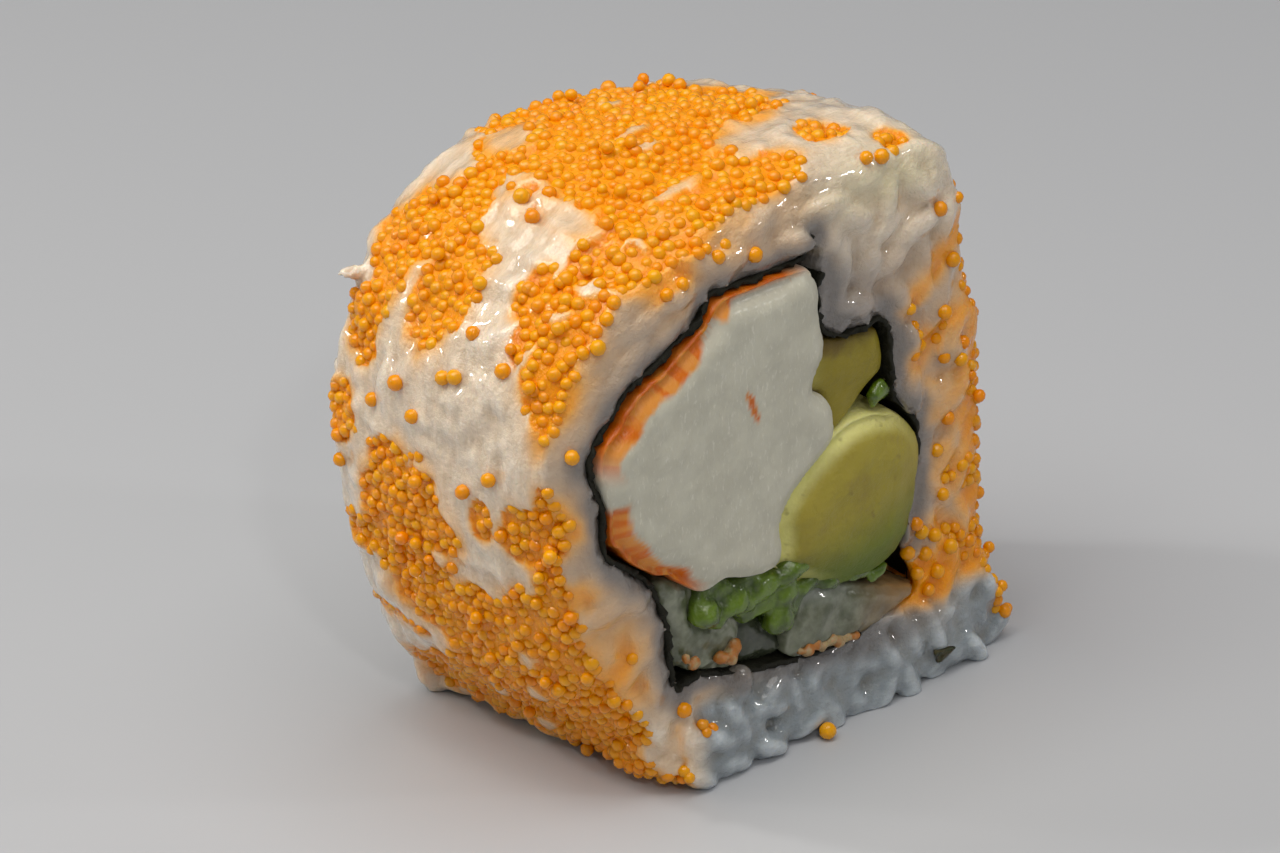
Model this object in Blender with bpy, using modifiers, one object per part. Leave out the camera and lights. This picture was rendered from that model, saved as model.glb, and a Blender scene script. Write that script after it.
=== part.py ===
"""One piece of an inside-out sushi roll (uramaki), lying on its side.

The roll's axis runs along Y, with one cut face to -Y and the other to +Y, and it stands on
the flat that its own weight has pressed into the rice, at Z = 0. From outside to inside:
a thick jacket of rice, one sheet of nori, and the filling: a crab stick, two avocado
slices, mashed avocado and three bits of cucumber. Every layer runs from cut to cut.
Outlines are given in millimetres in the plane of the front cut, as (across, up).
"""

import math

import bmesh
import bpy
from mathutils import Vector, noise

MM = 0.001

# Driving sizes, in millimetres
LENGTH = 22.0  # from cut face to cut face
CORE_CENTRE = (-2.0, 20.0)  # middle of the filling, about which the roll twists
TWIST_DEGREES = 5.0  # turn of the filling from the front cut to the back one
BACK_SHRINK = 0.96  # size of the filling at the back cut, against the front
JACKET_CENTRE = (0.0, 19.5)  # middle of the rice jacket
BULGE = 1.1  # how far the jacket swells half way along
RIM_RADIUS = 2.6  # rounding between the jacket and a cut face
RIM_FADE_HEIGHT = 8.0  # below this height the rim gets sharper, down to the flat
NORI_THICKNESS = 0.3
CLEARANCE = 0.3  # gap between neighbouring pieces
LUMP_HEIGHT = 0.45  # unevenness of the packed rice
LUMP_SIZE = 3.2
FLAT_HEIGHT = 1.5  # lumps fade out below this height, so that the flat stays flat
CUT_EDGE_RADIUS = 0.8  # rounding of the filling's cut edges
RICE_STEPS = 5  # points on the curve from one outline point to the next
NORI_STEPS = 3
FILLING_STEPS = 2

# The rice jacket is a lopsided round at the front cut and fuller on its left at the back.
JACKET_FRONT = [
    (-9.6, 0.0), (5.0, 0.0), (18.6, 0.0), (19.9, 2.6), (19.2, 9.0),
    (18.6, 17.0), (17.9, 25.0), (16.4, 31.0), (15.4, 36.6), (12.6, 40.0),
    (5.0, 40.6), (-3.0, 40.2), (-9.6, 38.9), (-14.6, 36.6), (-18.6, 33.0),
    (-20.6, 28.0), (-20.3, 22.5), (-19.3, 17.0), (-17.0, 10.5), (-13.0, 4.5),
]
JACKET_BACK = [
    (-11.8, 0.0), (3.0, 0.0), (17.0, 0.0), (19.6, 2.8), (19.2, 9.0),
    (18.6, 17.0), (17.8, 25.0), (16.0, 31.0), (12.5, 35.5), (8.5, 38.2),
    (3.0, 40.0), (-4.0, 41.0), (-10.8, 40.4), (-16.2, 37.6), (-19.9, 33.4),
    (-21.6, 28.0), (-22.2, 22.0), (-21.4, 15.5), (-19.4, 9.5), (-15.9, 4.0),
]

# The sheet of nori, from the free end above the crab stick, down the left side, along the
# bottom with its pleat, up the right side and round the lobe of rice to its other end.
NORI_PATH = [
    (1.1, 36.4), (0.3, 35.0), (-2.6, 34.9), (-5.4, 34.9), (-7.5, 34.9),
    (-8.6, 33.4), (-10.6, 32.5), (-12.4, 31.4), (-14.5, 30.6), (-15.9, 28.9),
    (-17.5, 27.0), (-17.2, 24.9), (-16.5, 22.9), (-16.3, 19.8), (-14.1, 17.9),
    (-12.5, 16.2), (-11.6, 14.2), (-11.0, 12.0), (-10.8, 9.8), (-10.2, 7.6),
    (-8.2, 8.0), (-4.5, 6.8), (0.0, 6.0), (4.0, 5.6), (8.5, 5.4),
    (12.2, 6.0), (12.2, 8.2), (10.9, 11.0), (11.0, 13.8), (11.4, 18.6),
    (10.4, 20.9), (9.0, 22.4), (8.7, 24.6), (8.5, 27.2), (7.4, 28.6),
    (5.6, 28.3), (3.6, 28.6), (2.2, 29.6), (1.8, 31.4), (2.0, 33.6),
]

# The filling, piece by piece. Where two outlines meet they share points, and each piece is
# then drawn in by half the clearance.
CRAB_STICK = [
    (0.2, 34.2), (1.0, 33.2), (1.0, 31.2), (1.4, 29.4), (1.9, 28.1),
    (1.2, 26.9), (0.9, 25.6), (2.3, 24.7), (2.8, 23.4), (2.9, 21.7),
    (1.2, 20.3), (-0.6, 19.0), (-1.8, 17.0), (-1.5, 15.4), (-1.9, 14.0),
    (-4.6, 14.1), (-6.6, 14.8), (-8.6, 14.5), (-11.0, 16.4), (-13.6, 18.5),
    (-15.6, 20.6), (-15.7, 22.8), (-16.4, 25.0), (-16.6, 26.9), (-15.1, 28.3),
    (-13.9, 29.8), (-11.8, 30.6), (-10.0, 31.7), (-8.1, 32.7), (-7.1, 34.1),
    (-5.0, 34.2), (-2.3, 34.2),
]
AVOCADO_UPPER = [
    (2.6, 28.2), (4.4, 27.8), (6.0, 27.5), (7.3, 27.6), (7.8, 26.4),
    (7.9, 24.6), (6.8, 23.8), (5.8, 22.9), (4.5, 21.9), (3.4, 21.4),
    (2.9, 21.7), (2.8, 23.4), (2.3, 24.7), (0.9, 25.6), (1.2, 26.9),
]
AVOCADO_LOWER = [
    (6.2, 22.0), (7.9, 21.6), (9.4, 20.6), (10.6, 19.0), (10.9, 17.6),
    (10.7, 15.8), (10.3, 13.8), (10.0, 12.0), (9.2, 10.9), (7.6, 10.3),
    (5.4, 10.1), (3.2, 10.5), (0.9, 11.5), (-0.8, 12.7), (-1.9, 14.0),
    (-1.5, 15.4), (-1.8, 17.0), (-0.6, 19.0), (1.2, 20.3), (2.9, 21.2),
    (4.5, 21.9),
]
AVOCADO_MASH = [
    (-1.9, 14.0), (-0.8, 12.7), (0.9, 11.5), (2.4, 10.7), (0.8, 10.2),
    (0.2, 8.9), (-0.6, 8.2), (-1.9, 8.9), (-2.5, 10.2), (-4.5, 10.2),
    (-5.2, 11.2), (-7.5, 11.3), (-8.9, 12.6), (-8.6, 14.5), (-6.6, 14.8),
    (-4.6, 14.1),
]
CUCUMBER_RIGHT = [
    (0.8, 10.2), (2.4, 10.7), (5.4, 9.7), (8.2, 8.6), (10.3, 7.9),
    (11.5, 7.2), (10.2, 6.5), (7.0, 6.0), (3.8, 6.1), (1.9, 6.3),
    (0.0, 6.5), (-0.6, 8.2), (0.2, 8.9),
]
CUCUMBER_LEFT = [
    (-11.0, 16.0), (-8.6, 14.5), (-8.9, 12.6), (-7.5, 11.3), (-5.2, 11.2),
    (-4.5, 10.2), (-4.7, 8.6), (-5.4, 7.7), (-8.2, 8.6), (-9.9, 9.4),
    (-10.1, 11.8), (-10.9, 14.2),
]
CUCUMBER_CORE = [
    (-4.5, 10.2), (-2.5, 10.2), (-1.9, 8.9), (-0.6, 8.2), (-0.4, 6.6),
    (-2.4, 6.9), (-4.3, 7.4), (-4.7, 8.6),
]

# node: outline, how far it stands out of the front cut and the back cut, colour, roughness
FILLING = {
    "crab_stick": (CRAB_STICK, 0.7, 0.4, (0.62, 0.60, 0.50), 0.45),
    "avocado_upper": (AVOCADO_UPPER, -0.4, -0.3, (0.36, 0.30, 0.05), 0.40),
    "avocado_lower": (AVOCADO_LOWER, 0.3, 0.2, (0.42, 0.38, 0.09), 0.35),
    "avocado_mash": (AVOCADO_MASH, 0.1, -0.5, (0.14, 0.25, 0.03), 0.30),
    "cucumber_right": (CUCUMBER_RIGHT, 0.2, -0.4, (0.36, 0.38, 0.28), 0.20),
    "cucumber_left": (CUCUMBER_LEFT, -0.2, -0.2, (0.38, 0.42, 0.32), 0.20),
    "cucumber_core": (CUCUMBER_CORE, -0.8, -0.6, (0.16, 0.18, 0.12), 0.20),
}
RICE_LOOK = ((0.80, 0.74, 0.62), 0.40)
NORI_LOOK = ((0.012, 0.016, 0.010), 0.50)


def clear_scene():
    for obj in list(bpy.data.objects):
        bpy.data.objects.remove(obj, do_unlink=True)


def make_collection(name):
    collection = bpy.data.collections.new(name)
    bpy.context.scene.collection.children.link(collection)
    return collection


def make_material(name, colour, roughness):
    material = bpy.data.materials.new(name)
    material.use_nodes = True
    shader = material.node_tree.nodes["Principled BSDF"]
    shader.inputs["Base Color"].default_value = (*colour, 1.0)
    shader.inputs["Roughness"].default_value = roughness
    shader.inputs["Metallic"].default_value = 0.0
    return material


def hermite(before, start, end, after, t):
    """The point a share t of the way along the smooth curve from start to end."""
    leave = (end - before) / 2
    arrive = (after - start) / 2
    return (
        (2 * t**3 - 3 * t**2 + 1) * start
        + (t**3 - 2 * t**2 + t) * leave
        + (3 * t**2 - 2 * t**3) * end
        + (t**3 - t**2) * arrive
    )


def smooth_outline(points, steps):
    """A closed smooth curve through the points."""
    corners = [Vector(p) for p in points]
    count = len(corners)
    return [
        hermite(
            corners[i - 1],
            corners[i],
            corners[(i + 1) % count],
            corners[(i + 2) % count],
            k / steps,
        )
        for i in range(count)
        for k in range(steps)
    ]


def smooth_path(points, steps):
    """An open smooth curve through the points."""
    corners = [Vector(p) for p in points]
    last = len(corners) - 1
    curve = [
        hermite(
            corners[max(i - 1, 0)],
            corners[i],
            corners[i + 1],
            corners[min(i + 2, last)],
            k / steps,
        )
        for i in range(last)
        for k in range(steps)
    ]
    return [*curve, corners[last]]


def signed_area(outline):
    return sum(
        a.x * b.y - b.x * a.y for a, b in zip(outline, outline[1:] + outline[:1])
    ) / 2


def drawn_in(outline, distance):
    """The outline moved inwards by the distance, or outwards if it is negative."""
    turn = 1 if signed_area(outline) > 0 else -1
    moved = []
    for i, here in enumerate(outline):
        along = outline[(i + 1) % len(outline)] - outline[i - 1]
        inwards = Vector((-along.y, along.x)).normalized() * turn
        moved.append(here + inwards * distance)
    return moved


def share_along(y):
    """0 at the front cut and 1 at the back cut."""
    return y / LENGTH + 0.5


def drift(point, y):
    """Where a point of the filling's front outline has moved to at y along the roll."""
    share = share_along(y)
    angle = math.radians(TWIST_DEGREES) * share
    size = 1 + (BACK_SHRINK - 1) * share
    across = (point.x - CORE_CENTRE[0]) * size
    up = (point.y - CORE_CENTRE[1]) * size
    return Vector((
        CORE_CENTRE[0] + across * math.cos(angle) - up * math.sin(angle),
        y,
        CORE_CENTRE[1] + across * math.sin(angle) + up * math.cos(angle),
    ))


def rounded_stations(front, back, radius, edge_steps, middle_steps):
    """(y, drop) from front to back, where drop is how far a rounded edge has fallen, 0 to 1."""
    edge = []
    for k in range(edge_steps):
        angle = math.pi / 2 * k / edge_steps
        edge.append((radius * (1 - math.cos(angle)), 1 - math.sin(angle)))
    middle = [
        (front + radius + (back - front - 2 * radius) * k / middle_steps, 0.0)
        for k in range(middle_steps + 1)
    ]
    return (
        [(front + inset, drop) for inset, drop in edge]
        + middle
        + [(back - inset, drop) for inset, drop in reversed(edge)]
    )


def jacket_ring(y, drop):
    """The rice jacket's outline at y, lumps and rounded rim included."""
    share = share_along(y)
    front = smooth_outline(JACKET_FRONT, RICE_STEPS)
    back = smooth_outline(JACKET_BACK, RICE_STEPS)
    centre = Vector(JACKET_CENTRE)
    ring = []
    for a, b in zip(front, back):
        flat = a.lerp(b, share)
        outwards = (flat - centre).normalized()
        raised = min(max(flat.y, 0.0) / RIM_FADE_HEIGHT, 1.0)
        swell = BULGE * math.sin(math.pi * share) * raised
        rim = RIM_RADIUS * raised * drop
        lumps = noise.noise(Vector((flat.x, y, flat.y)) / LUMP_SIZE) * LUMP_HEIGHT
        fade = min(max(flat.y, 0.0) / FLAT_HEIGHT, 1.0)
        moved = flat + outwards * (swell - rim + lumps * fade)
        ring.append(Vector((moved.x, y, max(moved.y, 0.0))))
    return ring


def loft(name, rings):
    """A closed solid through the rings, from a face that is extruded from ring to ring."""
    bm = bmesh.new()
    corners = [bm.verts.new(point * MM) for point in rings[0]]
    cap = bm.faces.new(corners)
    for ring in rings[1:]:
        order = {corner: i for i, corner in enumerate(corners)}
        made = bmesh.ops.extrude_face_region(bm, geom=[cap])["geom"]
        if ring is not rings[1]:
            bmesh.ops.delete(bm, geom=[cap], context="FACES_ONLY")
        cap = next(part for part in made if isinstance(part, bmesh.types.BMFace))
        corners = [None] * len(ring)
        for vertex in cap.verts:
            edge = next(
                e for e in vertex.link_edges if e.other_vert(vertex) in order
            )
            place = order[edge.other_vert(vertex)]
            vertex.co = ring[place] * MM
            corners[place] = vertex
    bmesh.ops.recalc_face_normals(bm, faces=bm.faces)
    return finished(name, bm)


def finished(name, bm):
    mesh = bpy.data.meshes.new(name)
    bm.to_mesh(mesh)
    bm.free()
    return bpy.data.objects.new(name, mesh)


def merge_flat(obj):
    """Makes the faces of the resting flat into one face."""
    bm = bmesh.new()
    bm.from_mesh(obj.data)
    level = 1e-6
    flat = [f for f in bm.faces if all(abs(v.co.z) < level for v in f.verts)]
    bmesh.ops.dissolve_faces(bm, faces=flat, use_verts=False)
    bm.to_mesh(obj.data)
    bm.free()


def cut_away(obj, cutter, helpers):
    """Subtracts the cutter, which is kept as a hidden helper."""
    helpers.objects.link(cutter)
    cutter.hide_render = True
    cutter.display_type = "WIRE"
    boolean = obj.modifiers.new("channel", "BOOLEAN")
    boolean.operation = "DIFFERENCE"
    boolean.solver = "EXACT"
    boolean.object = cutter


def make_rice(helpers):
    """The jacket, with a channel a clearance wider than the nori."""
    stations = rounded_stations(-LENGTH / 2, LENGTH / 2, RIM_RADIUS, 3, 7)
    rice = loft("rice", [jacket_ring(y, drop) for y, drop in stations])
    merge_flat(rice)
    sheet = smooth_outline(NORI_PATH, NORI_STEPS)
    wall = drawn_in(sheet, -(NORI_THICKNESS / 2 + CLEARANCE))
    overshoot = 2.0
    ends = (-LENGTH / 2 - overshoot, LENGTH / 2 + overshoot)
    channel = loft("channel", [[drift(p, y) for p in wall] for y in ends])
    cut_away(rice, channel, helpers)
    return rice


def make_nori():
    """An open sheet along the path, thickened to both sides."""
    path = smooth_path(NORI_PATH, NORI_STEPS)
    bm = bmesh.new()
    line = [bm.verts.new(drift(p, -LENGTH / 2) * MM) for p in path]
    edges = [bm.edges.new(pair) for pair in zip(line, line[1:])]
    made = bmesh.ops.extrude_edge_only(bm, edges=edges)["geom"]
    far = {v for v in made if isinstance(v, bmesh.types.BMVert)}
    for vertex, point in zip(line, path):
        edge = next(e for e in vertex.link_edges if e.other_vert(vertex) in far)
        edge.other_vert(vertex).co = drift(point, LENGTH / 2) * MM
    nori = finished("nori", bm)
    thickness = nori.modifiers.new("thickness", "SOLIDIFY")
    thickness.thickness = NORI_THICKNESS * MM
    thickness.offset = 0.0
    thickness.use_even_offset = True
    return nori


def make_filling(name, points, front_proud, back_proud):
    """One piece of the filling, from cut to cut, with rounded cut edges."""
    outline = smooth_outline(points, FILLING_STEPS)
    rings = []
    for y, drop in rounded_stations(
        -LENGTH / 2 - front_proud, LENGTH / 2 + back_proud, CUT_EDGE_RADIUS, 2, 1
    ):
        inset = CLEARANCE / 2 + CUT_EDGE_RADIUS * drop * 0.6
        rings.append([drift(p, y) for p in drawn_in(outline, inset)])
    return loft(name, rings)


def centre_over_origin(objects):
    """Moves the pieces so that the middle of the whole's base is at the origin."""
    bpy.context.view_layer.update()
    graph = bpy.context.evaluated_depsgraph_get()
    corners = [
        obj.matrix_world @ Vector(corner)
        for obj in objects
        for corner in obj.evaluated_get(graph).bound_box
    ]
    low = Vector(min(c[i] for c in corners) for i in range(3))
    high = Vector(max(c[i] for c in corners) for i in range(3))
    middle = (low + high) / 2
    for obj in objects:
        obj.location = (-middle.x, -middle.y, -low.z)


def main():
    clear_scene()
    roll = make_collection("uramaki_roll")
    helpers = make_collection("cutters")
    rice = make_rice(helpers)
    rice.data.materials.append(make_material("rice", *RICE_LOOK))
    nori = make_nori()
    nori.data.materials.append(make_material("nori", *NORI_LOOK))
    pieces = [rice, nori]
    for name, (points, front_proud, back_proud, colour, roughness) in FILLING.items():
        piece = make_filling(name, points, front_proud, back_proud)
        piece.data.materials.append(make_material(name, colour, roughness))
        pieces.append(piece)
    for piece in pieces:
        roll.objects.link(piece)
        piece.data.shade_smooth()
        piece.data.set_sharp_from_angle(angle=math.radians(40))
    centre_over_origin(pieces)
    for cutter in helpers.objects:
        cutter.location = rice.location


main()
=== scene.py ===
import math

import bmesh
import bpy
import numpy as np
from mathutils import Matrix, Vector, noise
from mathutils.bvhtree import BVHTree
from mathutils.kdtree import KDTree


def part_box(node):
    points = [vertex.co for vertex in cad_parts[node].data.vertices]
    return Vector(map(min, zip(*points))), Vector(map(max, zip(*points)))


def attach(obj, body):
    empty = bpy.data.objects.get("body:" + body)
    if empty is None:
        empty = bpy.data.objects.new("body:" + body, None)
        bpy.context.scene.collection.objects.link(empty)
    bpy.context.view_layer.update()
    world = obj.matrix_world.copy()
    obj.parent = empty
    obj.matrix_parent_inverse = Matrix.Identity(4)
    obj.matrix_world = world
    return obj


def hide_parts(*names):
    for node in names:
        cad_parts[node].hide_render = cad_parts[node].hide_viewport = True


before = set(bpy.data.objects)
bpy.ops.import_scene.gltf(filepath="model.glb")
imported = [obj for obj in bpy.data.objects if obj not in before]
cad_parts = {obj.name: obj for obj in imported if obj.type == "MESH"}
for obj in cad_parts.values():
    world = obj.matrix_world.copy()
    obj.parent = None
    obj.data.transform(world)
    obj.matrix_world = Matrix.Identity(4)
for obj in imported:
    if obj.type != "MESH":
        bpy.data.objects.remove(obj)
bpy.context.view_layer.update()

# One piece of an inside-out roll. Lengths are in metres, and MM turns the millimetres of
# the kitchen into them. The front cut faces -Y. A place on the outside of the roll is a
# pair: its angle about the roll's axis in degrees, from +X over the top, and its Y in mm.
MM = 0.001
CUT_Y = (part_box("rice")[0].y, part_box("rice")[1].y)
AXIS = Vector((0.36 * MM, 0.0, 19.5 * MM))
SEED = 7

RICE_VOXEL = 0.318 * MM
CORE_VOXEL = 0.5 * MM
FILLING_VOXEL = 0.26 * MM
MASH_VOXEL = 0.22 * MM
CRUMB_VOXEL = 0.14 * MM

# A cooked grain's half-length, half-width and half-thickness.
GRAIN_SIZE = (2.7 * MM, 1.15 * MM, 1.05 * MM)
GRAIN_SPACING = 1.9 * MM
GRAIN_TRIES = 16000
GRAIN_TO_NORI = 1.0  # mm kept free, so that the black line shows
ROE_RADIUS = 0.46 * MM
ROE_SPACING = 0.66 * MM
ROE_TRIES = 120000
ROE_TO_NORI = 1.1
BED_DEPTH = 0.30 * MM
NORI_REACH = 0.52 * MM  # how far the rice grows towards the nori, to close the gap

# Rows of grains along the foot of the front cut: mm up and behind the cut, and steepness.
FOOT_ROWS = ((1.1, -0.10, 0.5), (3.3, 0.30, 1.0))
# One grain stands up at the back of the left side.
PROUD_GRAIN = (-18.8 * MM, 9.0 * MM, 33.5 * MM)

# Beds of roe on the outside: angle, y, half-width in degrees, half-length in mm.
ROE_BEDS = [
    (105, -3.5, 15, 7.5), (99, 1.5, 19, 6.5), (88, 3.0, 14, 5.5), (97, 7.0, 14, 4.5),
    (77, 1.5, 10, 3.6), (72, -6.3, 4.2, 1.4), (63, -8.8, 3.0, 0.9), (92, -8.2, 9, 1.9),
    (113, 6.4, 5, 1.6), (121, 4.5, 7, 1.4), (136, 6.6, 11, 2.4), (140, 1.2, 9, 2.3),
    (134, -4.6, 5, 0.9), (138, -5.9, 7, 0.8), (124, -6.4, 8, 1.1), (143, -8.4, 8, 1.5),
    (174, -4.6, 4, 0.8), (170, -10.0, 7, 1.3), (184, 3.8, 12, 2.6), (118, -9.6, 10, 1.3),
    (110, -8.9, 11, 1.6), (123, -8.6, 5, 1.3), (133, -6.4, 2.4, 2.0), (137, -9.0, 9, 1.1),
    (147, -9.3, 9, 1.1), (141, 0.8, 7, 1.9), (128, 3.3, 6, 1.3), (134, 6.3, 6, 3.2),
    (147, 7.4, 9, 1.9), (116, 5.8, 2.5, 1.2), (175, -8.5, 6, 2.4), (180, 1.8, 11, 3.6),
    (172, 3.2, 5, 2.0), (188, -9.2, 8, 1.4), (197, -7.5, 9, 3.4), (205, -2.0, 14, 3.6),
    (198, 2.5, 8, 2.5), (222, -4.0, 17, 6.5), (228, 3.5, 10, 5.5), (212, -9.3, 16, 1.9),
    (241, -6.0, 12, 5.0), (166, 8.6, 5, 1.6), (190, 8.0, 3.5, 1.6), (209, 7.0, 2.5, 3.0),
    (40, -9.6, 5, 1.9), (24, -8.4, 10, 3.6), (4, -8.0, 13, 4.6), (344, -7.8, 13, 5.0),
    (328, -8.6, 10, 3.6), (15, 1.0, 12, 3.0), (350, 3.5, 14, 4.0), (36, 5.5, 8, 3.0),
    (330, 6.5, 8, 2.6), (52, 2.0, 4, 3.0), (5, 8.0, 7, 1.6), (300, 0.0, 4, 5.0),
    (14, -4.0, 13, 4.0), (352, -3.0, 15, 4.2), (336, -2.0, 10, 4.0), (20, 4.6, 11, 3.2),
    (344, 4.4, 13, 3.4), (2, 1.0, 9, 4.0),
]
# Rice smeared over those beds, in the same terms.
RICE_SMEARS = [
    (105, -6.0, 6, 0.6), (99, 0.4, 4, 0.5), (83, -4.3, 9, 1.5), (112, 6.2, 5, 2.0),
    (100, -1.6, 2.5, 0.5), (121, -3.2, 3, 3.4), (213, 5.8, 5, 2.6), (198, 8.2, 5, 1.6),
    (217, -4.6, 3.2, 0.7), (206, -5.4, 3.0, 0.6), (224, 0.6, 3.0, 0.8), (186, -0.4, 2.0, 0.8),
    (233, -1.6, 2.0, 1.0), (92, 5.4, 3.0, 0.5), (236, 6.0, 2.5, 2.0),
]
# Single eggs stuck to the outside, as angle and y.
LONE_EGGS = [
    (205, -9.8), (156, -10.4), (147, -5.6), (137, -10.0), (134, -4.1), (130, -5.9),
    (133, -7.0), (152, -1.3), (151, -2.3), (156, 2.4), (165, -5.7), (192, -9.7),
    (122, -7.2), (70, -9.8), (67, -10.0), (63, -8.6), (84, 8.8), (76, 6.4), (161, 5.0),
    (169, -3.6), (122, 0.5), (124, -1.2), (125, 6.8), (144, -2.6), (160, 0.6), (176, 8.9),
]
# Single eggs on the front cut, as mm across and up.
LONE_EGGS_ON_CUT = [
    (10.9, 9.2), (12.0, 10.1), (12.9, 8.2), (13.4, 9.6), (9.6, 7.4), (11.4, 8.1), (14.1, 10.8),
    (12.2, 12.3), (13.0, 11.4), (8.4, 6.4), (14.6, 7.8), (13.9, 6.6),
    (-2.8, 36.7), (-8.8, 6.3), (15.4, 30.6), (14.2, 27.4), (16.0, 23.4), (15.2, 19.2),
    (14.6, 13.8), (15.6, 9.4), (12.4, 8.6), (13.7, 34.8), (11.6, 7.2), (10.2, 6.4),
]
# The egg that has rolled off: mm across and in front of the cut, and its radius.
FALLEN_EGG = (3.0, 1.5, 0.6)

# Soft spots on the front cut: the middle in mm across and up, then half-width and
# half-height.
ROE_SMEAR = ((13.4, 7.6), (3.8, 2.5))
NORI_NOTCH = ((4.8, 31.0), (3.2, 3.0))
GREEN_TINT = ((8.9, 38.3), (5.5, 1.8))

# Places on the front cut, as mm across and up.
CRAB_MIDDLE = (-5.14, 24.5)
SKIN_SHRED = (-3.5, 26.6)
NORI_FLAKE = (14.2, 1.9)

# The camera looks at a place on the front cut from an azimuth and an elevation.
CAMERA_TARGET = (-12.44, 28.0)
CAMERA_DIRECTION = (-42.0, 27.0)
CAMERA_DISTANCE = 0.27
CAMERA_LENS = 123.0

# Lights: azimuth, elevation, distance, size in metres, power and colour. Azimuths here
# start at the front and grow to the right.
LIGHTS = {
    "key": (-98.0, 63.0, 0.45, 0.26, 1.02, (1.0, 0.94, 0.86)),
    "top": (10.0, 80.0, 0.5, 0.35, 1.05, (1.0, 0.97, 0.93)),
    "fill": (-20.0, 30.0, 0.6, 0.5, 0.15, (1.0, 0.97, 0.94)),
    "sparkle_behind": (-135.0, 40.0, 0.5, 0.03, 0.42, (1.0, 0.97, 0.92)),
    "sparkle_low": (-132.0, 18.0, 0.5, 0.03, 0.22, (1.0, 0.97, 0.92)),
    "sparkle_front": (-30.0, 40.0, 0.5, 0.03, 0.26, (1.0, 0.98, 0.95)),
    "sparkle_right": (40.0, 22.0, 0.5, 0.03, 0.22, (1.0, 0.98, 0.95)),
}
SKY_COLOUR = (0.93, 0.95, 1.0, 1.0)
SKY_STRENGTH = 0.145


# ---------------------------------------------------------------- meshes


def smooth_step(low, high, value):
    """0 at the low value, 1 at the high one and smooth from one to the other."""
    t = np.clip((value - low) / (high - low), 0.0, 1.0)
    return t * t * (3 - 2 * t)


def ripple(points, size, seed=0.0):
    """Smooth noise from about -1 to 1 at each point, with waves of the given size.

    The size is a length, or three for noise that is drawn out.
    """
    scaled = points / np.array(size)
    offset = Vector((seed * 17.3, seed * 5.1, seed * 9.7))
    return np.array([noise.noise(Vector(p) + offset) for p in scaled])


def places(mesh):
    flat = np.empty(len(mesh.vertices) * 3, np.float32)
    mesh.vertices.foreach_get("co", flat)
    return flat.reshape(-1, 3).astype(float)


def normals(mesh):
    flat = np.empty(len(mesh.vertices) * 3, np.float32)
    mesh.vertex_normals.foreach_get("vector", flat)
    return flat.reshape(-1, 3).astype(float)


def move_to(mesh, points):
    mesh.vertices.foreach_set("co", points.astype(np.float32).ravel())
    mesh.update()


def paint(mesh, name, values):
    """Stores a number for each vertex, for the finish to read."""
    layer = mesh.attributes.new(name, "FLOAT", "POINT")
    layer.data.foreach_set("value", np.asarray(values, np.float32))


def cad_solid(node):
    """A CAD node's shape as one joined skin."""
    bm = bmesh.new()
    bm.from_mesh(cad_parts[node].data)
    bmesh.ops.remove_doubles(bm, verts=bm.verts, dist=0.002 * MM)
    return bm


def as_mesh(name, bm):
    mesh = bpy.data.meshes.new(name)
    bm.to_mesh(mesh)
    bm.free()
    return mesh


def smooth(bm, rounds):
    for _ in range(rounds):
        bmesh.ops.smooth_vert(
            bm, verts=bm.verts, factor=0.5,
            use_axis_x=True, use_axis_y=True, use_axis_z=True,
        )


def fused(name, bm, voxel, smoothing):
    """One even skin round all the overlapping shells in the bmesh, a little smoothed."""
    draft = bpy.data.objects.new(name + "_draft", as_mesh(name + "_draft", bm))
    bpy.context.scene.collection.objects.link(draft)
    remesh = draft.modifiers.new("fuse", "REMESH")
    remesh.mode = "VOXEL"
    remesh.voxel_size = voxel
    graph = bpy.context.evaluated_depsgraph_get()
    skin = bmesh.new()
    skin.from_mesh(draft.evaluated_get(graph).to_mesh())
    bpy.data.objects.remove(draft, do_unlink=True)
    smooth(skin, smoothing)
    return as_mesh(name, skin)


def show(name, mesh, finish, replaced=()):
    """Puts a finished piece into the scene."""
    piece = bpy.data.objects.new(name, mesh)
    bpy.context.scene.collection.objects.link(piece)
    mesh.materials.clear()
    mesh.materials.append(finish)
    mesh.shade_smooth()
    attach(piece, "root")
    if replaced:
        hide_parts(*replaced)
    return piece


def surface_points(mesh, count, draws):
    """Points spread evenly at random over a mesh, with the way its surface faces there."""
    mesh.calc_loop_triangles()
    corners = np.empty(len(mesh.loop_triangles) * 3, np.int32)
    mesh.loop_triangles.foreach_get("vertices", corners)
    corners = places(mesh)[corners.reshape(-1, 3)]
    edge_a = corners[:, 1] - corners[:, 0]
    edge_b = corners[:, 2] - corners[:, 0]
    cross = np.cross(edge_a, edge_b)
    area = np.linalg.norm(cross, axis=1)
    chosen = draws.choice(len(area), count, p=area / area.sum())
    u, v = draws.random((2, count))
    folded = u + v > 1
    u[folded] = 1 - u[folded]
    v[folded] = 1 - v[folded]
    points = corners[chosen, 0] + edge_a[chosen] * u[:, None] + edge_b[chosen] * v[:, None]
    return points, cross[chosen] / area[chosen, None]


def spaced_out(points, spacing):
    """Which of the points to keep so that no two are nearer than the spacing."""
    cells = {}
    kept = []
    around = [(i, j, k) for i in (-1, 0, 1) for j in (-1, 0, 1) for k in (-1, 0, 1)]
    for index, point in enumerate(points):
        home = tuple(int(math.floor(c / spacing)) for c in point)
        near = [
            other
            for step in around
            for other in cells.get(tuple(h + s for h, s in zip(home, step)), ())
        ]
        if all(np.sum((points[other] - point) ** 2) >= spacing**2 for other in near):
            cells.setdefault(home, []).append(index)
            kept.append(index)
    return np.array(kept, int)


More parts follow.
